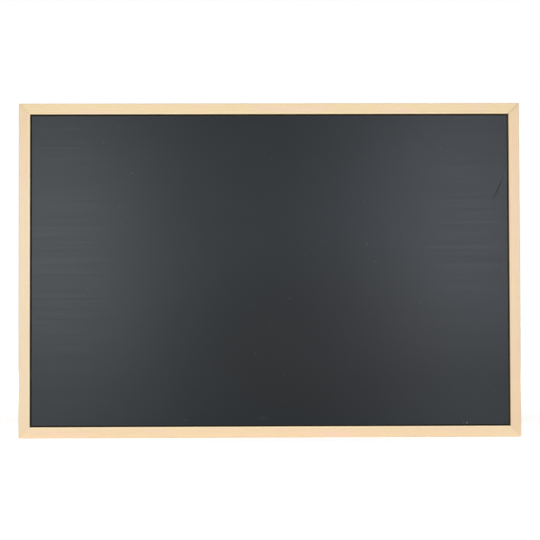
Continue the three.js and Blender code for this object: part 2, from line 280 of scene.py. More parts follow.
# Each side of the frame is its own length of wood: early wood, late wood and flush of pink, the tone that
# each end drifts to and how far (painted light), how strong the painted highlight on the strip beside the
# sheet is, and how deep behind the face the painted shade on the lip starts and is full
railWood = {
    "top_rail": {
        "tones": ("#E7D1A4", "#D7B57F", "#E9CAB1"),
        "ends": [("#E7D1A4", 0), ("#E7D1A4", 0)],
        "highlight": 0.35, "lipShade": (0.1, 0.6)},
    "bottom_rail": {
        "tones": ("#F2D8AE", "#E3BD89", "#F5D1BA"),
        "ends": [("#F3DBB2", 0.5), ("#F3DBB2", 0.3)],
        "highlight": 0.6, "lipShade": (0.3, 0.9)},
    "left_stile": {
        "tones": ("#E4CFAC", "#D5B587", "#E5C6AB"),
        "ends": [("#F0D7B1", 0.6), ("#E3C596", 0.4)],
        "highlight": 0.25, "lipShade": (2.4, 3.4)},
    "right_stile": {
        "tones": ("#E5CDA8", "#D4B081", "#E6C5A8"),
        "ends": [("#E3C596", 0.3), ("#F0D4AB", 0.5)],
        "highlight": 0.1, "lipShade": (0.02, 0.25)},
}


def planedPine(name, length, number):
    # Pine, planed, sanded and sealed with one thin coat of clear lacquer:
    # pale and even, with faint straight grain, a soft low gloss and no open pores.
    wood = railWood[name]
    early, late, flush = wood["tones"]
    shift = pine["shift"] * number
    material, tree = newMaterial("planed_pine_" + name)
    grain = addNode(tree, "Attribute", output="Vector", attribute_name="grain")
    apart = addNode(tree, "SeparateXYZ", [grain]).node
    along, across, depth = apart.outputs["X"], apart.outputs["Y"], apart.outputs["Z"]

    # patterns, each moved so that no two lengths of wood are alike
    wander, fibres, patches, canals = [addNode(tree, "TexNoise", {
        "Vector": inUnits(tree, grain, size, move), "Scale": 1, "Detail": detail, "Roughness": fine})
        for size, move, detail, fine in (
            (pine["driftSize"], (shift, 0, 0), 2, 0.5), (pine["fibreSize"], (0, shift, 0), 3, 0.6),
            (pine["patchSize"], (0, 0, shift), 2, 0.5), (pine["canalSize"], (shift, shift, 0), 0, 0.5))]

    # growth rings, and what shows of the late wood, the flushes, the fibres and the canals
    drift = addNode(tree, "MapRange", [wander, 0, 1, -pine["ringDrift"], pine["ringDrift"]])
    tilted = addNode(tree, "Math", [depth, pine["ringTilt"], across], operation="MULTIPLY_ADD")
    shifted = addNode(tree, "Math", [tilted, drift], operation="ADD")
    rings = addNode(tree, "Math", [shifted, pine["ringSpacing"]], operation="DIVIDE")
    inRing = addNode(tree, "Math", [rings], operation="FRACT")
    lateWood = addNode(tree, "MapRange", [inRing, *pine["lateWood"]], **softly)
    share = addNode(tree, "MapRange", [fibres, *pine["lateShows"]])
    share = addNode(tree, "Math", [lateWood, share], operation="MULTIPLY")
    tone = addNode(tree, "Mix", {0: share, 6: early, 7: late}, **inColour)
    share = addNode(tree, "MapRange", [patches, *pine["patchShows"]])
    tone = addNode(tree, "Mix", {0: share, 6: tone, 7: flush}, **inColour)
    streak = addNode(tree, "MapRange", [fibres, *pine["fibreTones"]])
    tone = addNode(tree, "VectorMath", {0: tone, "Scale": streak}, operation="SCALE")
    share = addNode(tree, "MapRange", [canals, *pine["canalShows"]])
    tone = addNode(tree, "Mix", {0: share, 6: tone, 7: pine["canalTone"]}, **inColour)

    # both ends (painted light), the painted highlight on the strip beside the sheet, the painted shade on
    # the outer edge and the painted shade on the lip: two places along, across or through the wood, how
    # much shows at each, and the tone
    (startTone, startShare), (endTone, endShare) = wood["ends"]
    near, far = pine["endReach"]
    outer, inner = [railFace - gap for gap in pine["sightHighlight"]]
    atLip = addNode(tree, "Math", [across, railFace - pine["lipShadeStrip"]], operation="GREATER_THAN")
    lipDepth = addNode(tree, "Math", [depth, atLip], operation="MULTIPLY")
    layers = [
        (along, near, far, startShare, 0, startTone),
        (along, length - near, length - far, endShare, 0, endTone),
        (across, outer, inner, 0, wood["highlight"], pine["sightHighlightTone"]),
        (across, *pine["shadedOuterStrip"], pine["shadedOuterShows"], 0, pine["shadedOuterTone"]),
        (lipDepth, *wood["lipShade"], 0, pine["lipShadeShows"], pine["lipShadeTone"]),
    ]
    for *levels, layer in layers:
        share = addNode(tree, "MapRange", levels, **softly)
        tone = addNode(tree, "Mix", {0: share, 6: tone, 7: layer}, **inColour)

    height = addNode(tree, "Math", [lateWood, pine["lateRelief"], fibres], operation="MULTIPLY_ADD")
    rough, relief = (fibres, pine["roughness"]), (height, pine["relief"])
    addSurface(tree, {"Base Color": tone, "IOR": 1.5}, rough, relief)
    return material


lacquer = {
    "tone": "#101416",
    "roughness": (0.3, 0.7, 0.34, 0.38),
    "specular": 0.2,  # the fine matting agent takes most of the shine away
    "specularTint": "#F0F8FF",  # and leaves what there is a little blue
    "streakSize": (240, 50, 2.4),  # faint level streaks from the coating roller
    "cloudSize": 70,
    "cloudTones": (0.3, 0.7, 0.9, 1.12),
    "dustTone": "#8D9395",
    "dustSpacing": 30,  # one place for a speck of chalk in each square of this size
    "dustShare": 0.12,  # how many of those places have one
    "dustRadius": (0.25, 0.6),
    "dustShows": 0.4,
    "shadedDullEdge": (2.8, 1.7, 2.1, 2.1),  # left, right, top and bottom: a band beside the frame of painted shade, where the coat is also duller
    "paintedShadeTone": "#0A0B0C",
    "dullRoughness": 0.9,
    "shadedDullEdgeBlur": 0.6,
    "shadedDullEdgeWander": (0.5, 22),  # how far it wanders, and over what length
    "dustLine": (0.4, 3.4, 0.02, 0),  # the chalk that gathers beside it
    # painted shade, blacker in a patch low in the middle: its centre, how far round it, and from what share
    # of that to what share, and how black
    "shadedPatch": ((80, 160), (380, 220), (0.3, 1, 0.15, 1)),
    "chalkAndSheenVeil": (110, 0.03, 0),  # painted sheen in the tone of chalk dust, from the rail up to this height and towards the corners
    "chalkAndSheenVeilFromMiddle": (110, 420),
    "markEdge": (0.3, 1.15, 1, 0),  # how a mark fades, in shares of its size
    "relief": (0.15, 0.01),
}

# Small marks of use: where, half the length and width, turn in degrees, tone, how much of that shows, and
# how much it dulls the coat
boardMarks = {
    "scratch": ((413, 448), (24, 0.8), 66, "#0E1011", 0.6, 0.75),
    "wipedSmear": ((-151, 31), (6, 1), 4, "#4A4F51", 0.3, 0.2),
    "faintScuff": ((-13, 34), (15, 4), 3, "#2B2E30", 0.25, 0.1),
    "smallChip": ((347, 25.2), (1.1, 0.8), 20, "#83898B", 0.6, 1),
    "largeChip": ((353.4, 24.9), (1.8, 1), -20, "#A9AEB0", 0.6, 1),
}

# Where larger specks of chalk have stayed
chalkSpecks = [(-330, 484), (-248, 475), (171, 423), (175, 346), (189, 315), (388, 341), (35, 249),
               (24, 112), (403, 83), (308, 517)]
for number, spot in enumerate(chalkSpecks):
    boardMarks[f"chalkSpeck{number}"] = (spot, (1, 0.8), 40 * number, "#9DA2A4", 0.35, 0.5)


def matBlackLacquer():
    # Steel sheet with matt black lacquer, roller-coated and stoved: nearly black, a little cool,
    # with a broad soft sheen under side light, level roller streaks and a trace of chalk dust.
    material, tree = newMaterial("mat_black_stoved_lacquer")
    inBoard = millimetres(tree)
    apart = addNode(tree, "SeparateXYZ", [inBoard]).node
    x, z = apart.outputs["X"], apart.outputs["Z"]
    flat = addNode(tree, "CombineXYZ", [x, z])

    # the coat, cloudy where it is thinner, and painted blacker as shade in a patch low in the middle
    roller = addNode(tree, "TexNoise", {
        "Vector": inUnits(tree, inBoard, lacquer["streakSize"]),
        "Scale": 1, "Detail": 3, "Roughness": 0.65})
    clouds = addNode(tree, "TexNoise", {
        "Vector": inUnits(tree, inBoard, [lacquer["cloudSize"]] * 3), "Scale": 1, "Detail": 4})
    cloudy = addNode(tree, "MapRange", [clouds, *lacquer["cloudTones"]])
    spot, reach, levels = lacquer["shadedPatch"]
    fromShadedPatch = stretchedDistance(tree, flat, (*spot, 0), (*reach, 1))
    patchShade = addNode(tree, "MapRange", [fromShadedPatch, *levels], **softly)
    light = addNode(tree, "Math", [cloudy, patchShade], operation="MULTIPLY")
    base = addNode(tree, "VectorMath", {0: colour(lacquer["tone"])[:3], "Scale": light}, operation="SCALE")

    # specks of chalk dust
    cells = addNode(tree, "TexVoronoi", {"Vector": flat, "Scale": 1 / lacquer["dustSpacing"]},
                    voronoi_dimensions="2D").node
    chance = addNode(tree, "SeparateXYZ", [cells.outputs["Color"]]).node
    away = addNode(tree, "Math", [cells.outputs["Distance"], lacquer["dustSpacing"]],
                   operation="MULTIPLY")
    radius = addNode(tree, "MapRange", [chance.outputs["Y"], 0, 1, *lacquer["dustRadius"]])
    there = addNode(tree, "Math", [chance.outputs["X"], lacquer["dustShare"]], operation="LESS_THAN")
    inside = addNode(tree, "Math", [away, radius], operation="LESS_THAN")
    speck = addNode(tree, "Math", [there, inside], operation="MULTIPLY")
    speck = addNode(tree, "Math", [speck, lacquer["dustShows"]], operation="MULTIPLY")
    base = addNode(tree, "Mix", {0: speck, 6: base, 7: lacquer["dustTone"]}, **inColour)

    # how far a point is inside the band beside the frame, of painted shade and duller coat
    left, right, top, bottom = lacquer["shadedDullEdge"]
    sideReach = boardWidth / 2 - railFace
    gap = addNode(tree, "Math", [x, sideReach - left], operation="ADD")
    others = ((x, -1, sideReach - right), (z, -1, boardHeight - railFace - top), (z, 1, -railFace - bottom))
    for place, sign, offset in others:
        other = addNode(tree, "Math", [place, sign, offset], operation="MULTIPLY_ADD")
        gap = addNode(tree, "Math", [gap, other], operation="MINIMUM")
    howFar, length = lacquer["shadedDullEdgeWander"]
    wander = addNode(tree, "TexNoise", {
        "Vector": inUnits(tree, inBoard, [length] * 3), "Scale": 1, "Detail": 3})
    shift = addNode(tree, "Math", [wander, 0.5], operation="SUBTRACT")
    gap = addNode(tree, "Math", [shift, howFar * 2, gap], operation="MULTIPLY_ADD")
    blur = lacquer["shadedDullEdgeBlur"]
    edge = addNode(tree, "MapRange", [gap, -blur, blur, 1, 0], **softly)

    # chalk in a faint line beside it, and painted sheen in a veil over the lower corners
    line = addNode(tree, "MapRange", [gap, *lacquer["dustLine"]])
    fromMiddle = addNode(tree, "Math", [x], operation="ABSOLUTE")
    side = addNode(tree, "MapRange", [fromMiddle, *lacquer["chalkAndSheenVeilFromMiddle"]], **softly)
    low = addNode(tree, "MapRange", [z, railFace, *lacquer["chalkAndSheenVeil"]], **softly)
    chalkAndSheenVeil = addNode(tree, "Math", [side, low, line], operation="MULTIPLY_ADD")
    base = addNode(tree, "Mix", {0: chalkAndSheenVeil, 6: base, 7: lacquer["dustTone"]}, **inColour)
    # painted shade in the band beside the frame
    base = addNode(tree, "Mix", {0: edge, 6: base, 7: lacquer["paintedShadeTone"]}, **inColour)

    # marks of use
    dull = edge
    for spot, reach, turn, tone, showing, dulling in boardMarks.values():
        fromMark = stretchedDistance(tree, flat, (*spot, 0), (*reach, 1), turn)
        amount = addNode(tree, "MapRange", [fromMark, *lacquer["markEdge"]], **softly)
        share = addNode(tree, "Math", [amount, showing], operation="MULTIPLY")
        base = addNode(tree, "Mix", {0: share, 6: base, 7: tone}, **inColour)
        share = addNode(tree, "Math", [amount, dulling], operation="MULTIPLY")
        dull = addNode(tree, "Math", [dull, share], operation="MAXIMUM")

    rough = addNode(tree, "MapRange", [roller, *lacquer["roughness"]])
    addSurface(tree, {
        "Base Color": base, "IOR": 1.5, "Specular IOR Level": lacquer["specular"],
        "Specular Tint": lacquer["specularTint"]},
        (dull, (rough, lacquer["dullRoughness"])), (roller, lacquer["relief"]))
    return material


fibreBoards = {
    "pressed_hardboard": {"light": "#8E6842", "dark": "#6F4E30", "roughness": (0.54, 0.7)},
    "soft_fibreboard": {"light": "#BE9D6A", "dark": "#A58455", "roughness": (0.77, 0.93)},
}

matting = {
    "fleckSize": 0.9,  # matted wood fibres
    "shiveSize": (2.6, 2, 0.4),  # short straight bundles that stayed whole
    "shiveTurns": {25: "light", 95: "dark", -40: "light", -10: "dark"},  # degrees
    "shiveTones": {"light": 1.35, "dark": 0.6},  # against the board's own light and dark
    "shiveShows": (0.66, 0.76, 0, 0.3),
    "cloudSize": 90,
    "cloudShare": 0.25,  # of clouds in the board's tone, and the rest is flecks
    "levels": (0.34, 0.66),  # of both, where the dark and light tones are
    "screenPitch": 1.9,  # imprint of the press screen; real ones are about 1.5
    "screenRelief": 0.3,  # against a fleck
    "relief": (0.6, 0.08),
}


def pressedFibre(name):
    # Board pressed from wood fibre under heat: an even brown with fine matted flecks, quite dull.
    board = fibreBoards[name]
    material, tree = newMaterial(name)
    place = millimetres(tree)
    flecks = addNode(tree, "TexNoise", {
        "Vector": inUnits(tree, place, [matting["fleckSize"]] * 3),
        "Scale": 1, "Detail": 5, "Roughness": 0.65, "Distortion": 0.3})
    clouds = addNode(tree, "TexNoise", {
        "Vector": inUnits(tree, place, [matting["cloudSize"]] * 3), "Scale": 1, "Detail": 3})
    both = addNode(tree, "Mix", {0: matting["cloudShare"], 2: flecks, 3: clouds})
    spread = addNode(tree, "MapRange", [both, *matting["levels"]])
    base = addNode(tree, "Mix", {0: spread, 6: board["dark"], 7: board["light"]}, **inColour)
    for turn, tone in matting["shiveTurns"].items():
        turnedPlace = addNode(tree, "VectorRotate", {"Vector": place, "Angle": math.radians(turn)},
                              rotation_type="Y_AXIS")
        shives = addNode(tree, "TexNoise", {
            "Vector": inUnits(tree, turnedPlace, matting["shiveSize"], (turn, 0, 0)),
            "Scale": 1, "Detail": 0})
        share = addNode(tree, "MapRange", [shives, *matting["shiveShows"]])
        shive = [channel * matting["shiveTones"][tone] for channel in colour(board[tone])[:3]]
        base = addNode(tree, "Mix", {0: share, 6: base, 7: (*shive, 1)}, **inColour)

    apart = addNode(tree, "SeparateXYZ", [place]).node
    waves = []
    for axis in ("X", "Z"):
        angle = addNode(tree, "Math", [apart.outputs[axis], 2 * math.pi / matting["screenPitch"]],
                        operation="MULTIPLY")
        waves.append(addNode(tree, "Math", [angle], operation="SINE"))
    screen = addNode(tree, "Math", [waves[0], waves[1]], operation="MULTIPLY")
    height = addNode(tree, "Math", [screen, matting["screenRelief"], flecks], operation="MULTIPLY_ADD")
    addSurface(tree, {"Base Color": base, "IOR": 1.5, "Specular IOR Level": 0.35},
               (flecks, board["roughness"]), (height, matting["relief"]))
    return material


# Finishes of one tone that clouds into another, with finer marks. Each pattern has its size, detail and
# fineness, and the levels that it comes in between.
cloudedFinishes = {
    # Steel bent cold, then zinc plated: a pale soft gloss that varies a little, with fine marks along the
    # axis that the sheet or wire was drawn on
    "zinc_plated_steel": {
        "tones": ("#BDC2C7", "#9EA4AA"), "clouds": ((4, 4, 4), 3, 0.5), "cloudLevels": (0.3, 0.7),
        "marks": ((0.25, 0.25, 6), 3, 0.6), "markLevels": (0.25, 0.75),
        "roughness": (0.22, 0.4), "relief": (0.25, 0.02), "shader": {"Metallic": 1}},
    # Spring steel strip, stamped and then tempered: darker and duller, drawn the other way
    "tempered_spring_steel": {
        "tones": ("#8C9196", "#6E737A"), "clouds": ((4, 4, 4), 3, 0.5), "cloudLevels": (0.3, 0.7),
        "marks": ((6, 0.3, 0.3), 3, 0.6), "markLevels": (0.25, 0.75),
        "roughness": (0.3, 0.48), "relief": (0.25, 0.02), "shader": {"Metallic": 1}},
    # Black synthetic rubber, compression moulded: dull, a little grey with bloom, finely pitted
    "moulded_rubber": {
        "tones": ("#1B1B1C", "#2E2E2F"), "clouds": ((4, 4, 4), 2, 0.5), "cloudLevels": (0.35, 0.7, 0, 0.6),
        "marks": ((0.5, 0.5, 0.5), 3, 0.5), "markLevels": (0, 1),
        "roughness": (0.62, 0.8), "relief": (0.4, 0.05), "shader": {"IOR": 1.52}},
    # Wood glue, squeezed out and wiped while wet: a thin amber brown line, uneven, with dust in it
    "dried_wood_glue": {
        "tones": ("#6B4A2C", "#9A7347"),
        "clouds": ((2.5, 2.5, 2.5), 2, 0.5), "cloudLevels": (0.35, 0.65),
        "marks": ((2.5, 2.5, 2.5), 2, 0.5), "markLevels": (0, 1),
        "roughness": (0.5, 0.75), "shader": {"IOR": 1.48}},
}


def cloudedFinish(name):
    finish = cloudedFinishes[name]
    material, tree = newMaterial(name)
    place = millimetres(tree)
    clouds, marks = [addNode(tree, "TexNoise", {
        "Vector": inUnits(tree, place, size), "Scale": 1, "Detail": detail, "Roughness": fine})
        for size, detail, fine in (finish["clouds"], finish["marks"])]
    share = addNode(tree, "MapRange", [clouds, *finish["cloudLevels"]])
    main, cloud = finish["tones"]
    base = addNode(tree, "Mix", {0: share, 6: main, 7: cloud}, **inColour)
    spread = addNode(tree, "MapRange", [marks, *finish["markLevels"]])
    relief = (marks, finish["relief"]) if "relief" in finish else None
    addSurface(tree, {"Base Color": base, **finish["shader"]}, (spread, finish["roughness"]), relief)
    return material


zincPlate = cloudedFinish("zinc_plated_steel")
springSteel = cloudedFinish("tempered_spring_steel")
rubber = cloudedFinish("moulded_rubber")
glue = cloudedFinish("dried_wood_glue")
panelFinishes = {
    "chalk_sheet": matBlackLacquer(),
    "core_board": pressedFibre("soft_fibreboard"),
    "back_panel": pressedFibre("pressed_hardboard"),
}
print("finishes made")


# Frame. A moulding is drawn across its width, from the frame's side inward, and through its depth, from
# the front. It runs along the rail from the corner that it starts at.

moulding = {
    "outerArris": 1,
    "sightArris": 2,
    "backArris": 0.6,
    "lip": 3.5,  # wood in front of the sheet
    "land": 14,  # flat wood at the back, beside the rabbet
    "cornerRadius": 1.5,
    "cornerSteps": 16,
    "mitreEasing": 0.12,  # each mitred end is touched with fine paper before gluing
    "arcSteps": 8,  # mesh steps round a front edge, and round a back one
    "backSteps": 3,
}

# Half the width of each joint's line: glue has held some tighter than others
mitreOpen = {"bottom_left": 0.03, "top_left": 0.09, "top_right": 0.22, "bottom_right": 0.08}

# The corners where each rail starts and ends, and its turn in degrees from the left stile's stand
railPlaces = {
    "left_stile": {"corners": ("bottom_left", "top_left"), "turn": 0},
    "top_rail": {"corners": ("top_left", "top_right"), "turn": 90},
    "right_stile": {"corners": ("top_right", "bottom_right"), "turn": 180},
    "bottom_rail": {"corners": ("bottom_right", "bottom_left"), "turn": 270},
}


def mouldingProfile():
    deep = backY - frontY
    outer, sight, back = moulding["outerArris"], moulding["sightArris"], moulding["backArris"]
    steps, backSteps = moulding["arcSteps"], moulding["backSteps"]
    profile = arc((outer, outer), outer, 180, 270, steps)
    profile += arc((railFace - sight, sight), sight, 270, 360, steps)
    profile += [(railFace, moulding["lip"]), (moulding["land"], moulding["lip"])]
    profile += arc((moulding["land"] - back, deep - back), back, 0, 90, backSteps)
    profile += arc((back, deep - back), back, 90, 180, backSteps)
    return profile


def railLength(name):
    return boardHeight if railPlaces[name]["turn"] % 180 == 0 else boardWidth


def alongRail(name, across, depth, along):
    # a point of a moulding, set in its place in the frame
    left, top = -boardWidth / 2, boardHeight
    x, z = {
        0: (left + across, along),
        90: (left + along, top - across),
        180: (-left - across, top - along),
        270: (-left - along, across),
    }[railPlaces[name]["turn"]]
    return x, frontY + depth, z


def acrossRail(name, point):
    # the same the other way round: along, across and depth of a point of the mesh
    x, y, z = point / mm
    fromLeft, fromTop = x + boardWidth / 2, boardHeight - z
    along, across = {
        0: (z, fromLeft),
        90: (fromLeft, fromTop),
        180: (fromTop, boardWidth - fromLeft),
        270: (boardWidth - fromLeft, z),
    }[railPlaces[name]["turn"]]
    return along, across, y - frontY


def inset(profile, distance):
    # the profile shrunk by a distance, square to its sides; no corner moves more than twice as far
    count = len(profile)
    moved = []
    for i, point in enumerate(profile):
        before, after = Vector(profile[i - 1]), Vector(profile[(i + 1) % count])
        here = Vector(point)
        sides = [(here - before).normalized(), (after - here).normalized()]
        normals = [Vector((-side.y, side.x)) for side in sides]
        middle = (normals[0] + normals[1]).normalized()
        moved.append(tuple(here + middle * distance / max(middle.dot(normals[0]), 0.5)))
    return moved


def rail(name):
    profile = mouldingProfile()
    length = railLength(name)
    cutBack = [mitreOpen[corner] * math.sqrt(2) for corner in railPlaces[name]["corners"]]
    eased = moulding["mitreEasing"]
    small = inset(profile, eased)
    rows = []
    for shape, back in ((small, cutBack[0]), (profile, cutBack[0] + eased)):
        rows.append([alongRail(name, across, depth, across + back) for across, depth in shape])
    for shape, back in ((profile, cutBack[1] + eased), (small, cutBack[1])):
        rows.append([alongRail(name, across, depth, length - across - back) for across, depth in shape])
    return capped(name + "_moulding", rows)


def markGrain(mesh, name):
    # keeps each point's place along, across and through the wood, which the grain follows
    grain = mesh.attributes.new("grain", "FLOAT_VECTOR", "POINT")
    for vertex, value in zip(mesh.vertices, grain.data):
        value.vector = acrossRail(name, vertex.co)


nails = {
    "arm": 4.2,
    "halfAngle": 50,  # degrees
    "gauge": 0.5,
    "seats": (12.1, 6.5),  # of the tips, from both sides of the frame
    "slotRoom": 0.08,
    "slotDepth": 1.2,
}


def slotOutline(seat):
    # the V in plan beside the bottom left corner, its tip towards the rabbet
    arm, half = nails["arm"] + nails["slotRoom"], nails["gauge"] / 2 + nails["slotRoom"]
    angle = math.radians(nails["halfAngle"])
    sin, cos = math.sin(angle), math.cos(angle)
    outer = (half * sin - arm * cos, arm * sin + half * cos)
    inner = (-half * sin - arm * cos, arm * sin - half * cos)
    plan = [(half / sin, 0), outer, inner, (-half / sin, 0), (inner[0], -inner[1]), (outer[0], -outer[1])]
    return [(seat + (a - b) / math.sqrt(2), seat + (a + b) / math.sqrt(2)) for a, b in plan]


def atCorners(name, outline, nearY, farY):
    # a prism at each corner of the frame, from its outline beside the bottom left one
    made = []
    for mirrorX in (-1, 1):
        for mirrorZ in (-1, 1):
            placed = [(mirrorX * (boardWidth / 2 - a), boardHeight / 2 + mirrorZ * (boardHeight / 2 - b))
                      for a, b in outline]
            made.append(prism(name, placed, nearY, farY))
    return made


def cornerCutters():
    # what is taken off a moulding's ends, round the frame's outer corners and for the V-nails
    radius = moulding["cornerRadius"]
    middle = radius - 2 * weld  # so that the arc crosses the sides and doesn't only touch them
    outline = arc((middle, middle), radius, 180, 270, moulding["cornerSteps"])
    outline += [(radius, -cutRoom), (-cutRoom, -cutRoom), (-cutRoom, radius)]
    cutters = atCorners("outer_corner", outline, frontY - cutRoom, backY + cutRoom)
    for seat in nails["seats"]:
        cutters += atCorners("nail_slot", slotOutline(seat), backY - nails["slotDepth"], backY + cutRoom)
    return cutters


for number, name in enumerate(railPlaces):
    mesh = tidied(cutBy(rail(name), cornerCutters()))
    markGrain(mesh, name)
    wood = planedPine(name, railLength(name), number)
    piece(name + "_moulding", mesh, wood, [name], evenNormals=True)
print("frame made")


# Mitre joints: a film of glue in each, a little smaller than the moulding's section

glueFilm = {"setback": 0.35, "overlap": 0.02}  # behind the wood's surface, and into the wood on each side


def mitreGlue(corner):
    vertical, side = corner.split("_")
    half = mitreOpen[corner] + glueFilm["overlap"]
    insideCorner = moulding["cornerRadius"] * (1 - math.sqrt(0.5)) + glueFilm["setback"]
    rows = []
    for off in (half / math.sqrt(2), -half / math.sqrt(2)):
        row = []
        for across, depth in inset(mouldingProfile(), glueFilm["setback"]):
            across = max(across, insideCorner)
            x = (across + off - boardWidth / 2) * (1 if side == "left" else -1)
            z = across - off if vertical == "bottom" else boardHeight - across + off
            row.append((x, frontY + depth, z))
        rows.append(row)
    return capped("mitre_glue_" + corner, rows)


for corner in mitreOpen:
    piece("mitre_glue_" + corner, mitreGlue(corner), glue)
print("joints glued")


# Panel

for name, material in panelFinishes.items():
    cadNodes[name].data.materials.clear()
    cadNodes[name].data.materials.append(material)

stampedEasing = 0.08  # the stamping die leaves the points' and nails' edges a little round

for name, node in cadNodes.items():
    if name.startswith(("v_nail", "panel_point")):
        mesh = node.data.copy()
        mesh.transform(node.matrix_world)
        mesh = tidied(worked(tidied(mesh), [easing(stampedEasing)]))
        piece(name + "_stamped", mesh, springSteel, [name], evenNormals=True)
print("panel dressed")


# Hangers

strapSizes = {
    "width": 9.4,
    "gauge": 0.8,
    "length": 33.5,  # from the ring's bar to the tail
    "leafGap": 0.1,
    "leafSetback": 1.4,
    "eyeOuter": 2.2,
    "screws": (17.5, 28.5),  # from the ring's bar
    "hole": 1.75,
    "holeSides": 32,
    "punch": (-0.5, 2.4),  # reach of the hole punch from the wood's back, so right through both leaves
    "easing": 0.12,
    "step": 0.28,  # between the mesh's rows
    "tailRows": (0.06, 0.16, 0.35, 0.6, 0.9, 1.3, 1.8),  # closer ones, where a tail narrows
    "columns": (-1, -0.75, -0.35, 0, 0.35, 0.75, 1),  # shares of half the width
    "tailRound": 0.97,  # its radius, as a share of half the width
}

ringSizes = {
    "wire": 2.2,
    "halfWidth": 6.4,  # between wire centres
    "reach": 12.1,
    "corner": 2,
    "buttGap": 0.4,
    "buttEasing": (0.15, 0.8),  # length that is eased at the wire's ends, and the share of its radius there
    "steps": (6, 10, 4, 30),  # in half the bar, a corner, a side and half the bow
    "sides": 24,
    "restTilt": 5.14,  # degrees; the bow rests on the strap's edges
}

screwSizes = {
    "head": 6,
    "headHeight": 2,
    "rim": (0.15, 0.75),  # its easing and its height
    "shank": 2.9,
    "length": 12,
    "tip": (3.2, 0.12),  # length of the point, and its end's share of the radius
    "pitch": 1.3,
    "thread": 0.28,
    "threadFlank": 3.2,  # steepness of the ridge; a larger value makes it narrower
    "neck": (1.2, 0.4),  # length below the head, and how much of the thread is left there
    "recess": (3.3, 0.95),  # span and width of the driver's cross
    "recessTaper": ((-1.2, 0.3), (0.3, 0.56)),  # height from the head's top, and share of the cross there
    "easing": 0.05,
    "domeStep": 10,  # degrees from one of the head's rings to the next
    "sides": 40,
    "rowsPerTurn": 8,
    "turns": {"left": {"upper": 38, "lower": 71}, "right": {"upper": 55, "lower": 88}},  # degrees
}


def strapRuns():
    # the folded sheet's middle: its radius in the eye and in the neck below it, how far out its upper leaf
    # lies, and how long its lower leaf, eye, neck and upper leaf are
    size = strapSizes
    half = size["gauge"] / 2
    eye = size["eyeOuter"] - half
    leaf = size["gauge"] + size["leafGap"] + half
    neck = size["eyeOuter"] - leaf
    upper = size["length"] - size["leafSetback"] - eye - neck
    return eye, neck, leaf, (size["length"], eye * math.pi * 1.5, neck * math.pi / 2, upper)


def strapMiddle(distance):
    # how far above the ring's bar and out from the wood it is, at a distance from the lower tail
    eye, neck, leaf, runs = strapRuns()
    outer = strapSizes["eyeOuter"]
    if distance < runs[0]:
        return distance - runs[0], strapSizes["gauge"] / 2
    distance -= runs[0]
    if distance < runs[1]:
        angle = distance / eye - math.pi / 2
        return eye * math.cos(angle), outer + eye * math.sin(angle)
    distance -= runs[1]
    if distance < runs[2]:
        angle = -distance / neck
        return -eye - neck + neck * math.cos(angle), outer + neck * math.sin(angle)
    return -eye - neck - (distance - runs[2]), leaf


def strapMesh(barX, barZ):
    size = strapSizes
    total = sum(strapRuns()[3])
    radius = size["tailRound"] * size["width"] / 2
    steps = int(total / size["step"])
    tail = size["tailRows"]
    places = sorted({*tail, *[total * i / steps for i in range(1, steps)], *[total - t for t in tail[:-1]]})
    points, faces = [], []
    for place in places:
        toTail = min(place, total - place)
        half = size["width"] / 2
        if toTail < radius:
            half += math.sqrt(radius ** 2 - (radius - toTail) ** 2) - radius
        up, out = strapMiddle(place)
        points += [(barX + column * half, backY + out, barZ + up) for column in size["columns"]]
    wide = len(size["columns"])
    for row in range(len(places) - 1):
        for low in range(row * wide, row * wide + wide - 1):
            faces.append((low, low + 1, low + wide + 1, low + wide))
    sheet = meshFrom("strap", points, faces)
    folded = tidied(worked(sheet, [
        ("SOLIDIFY", {"thickness": size["gauge"] * mm, "offset": 0, "use_even_offset": True})]))
    start, end = size["punch"]
    holes = []
    for drop in size["screws"]:
        outline = arc((barX, barZ - drop), size["hole"], 0, 360, size["holeSides"])[:-1]
        holes.append(prism("hole", outline, backY + start, backY + end))
    punched = tidied(cutBy(folded, holes), join=0.03)  # joins the short edges where a hole crosses the rows
    return tidied(worked(punched, [easing(size["easing"])]))


def ringMesh(bar):
    size = ringSizes
    half, corner = size["halfWidth"], size["corner"]
    bow = size["reach"] - half
    gap = size["buttGap"] / 2
    eased, endShare = size["buttEasing"]
    barSteps, bendSteps, sideSteps, bowSteps = size["steps"]
    # half of the wire's middle line, from the butt in the bar to the bow, and then its mirror image
    path = [(gap, 0), (gap + eased, 0)]
    path += [(gap + (half - corner - gap) * i / barSteps, 0) for i in range(1, barSteps)]
    path += arc((half - corner, -corner), corner, 90, 0, bendSteps)
    path += [(half, -corner - (bow - corner) * i / sideSteps) for i in range(1, sideSteps)]
    path += arc((0, -bow), half, 0, -90, bowSteps)
    path += [(-x, down) for x, down in reversed(path[:-1])]
    tilt = Matrix.Rotation(math.radians(size["restTilt"]), 3, "X")
    out = Vector((0, 1, 0))
    rows = []
    last = len(path) - 1
    for i, (x, down) in enumerate(path):
        before, after = path[max(i - 1, 0)], path[min(i + 1, last)]
        along = Vector((after[0] - before[0], 0, after[1] - before[1])).normalized()
        side = along.cross(out)
        radius = size["wire"] / 2 * (endShare if i in (0, last) else 1)
        rows.append([tilt @ (Vector((x, 0, down)) + side * a + out * b) + bar
                     for a, b in arc((0, 0), radius, 0, 360, size["sides"])[:-1]])
    return capped("ring", rows, sharpAngle=50)


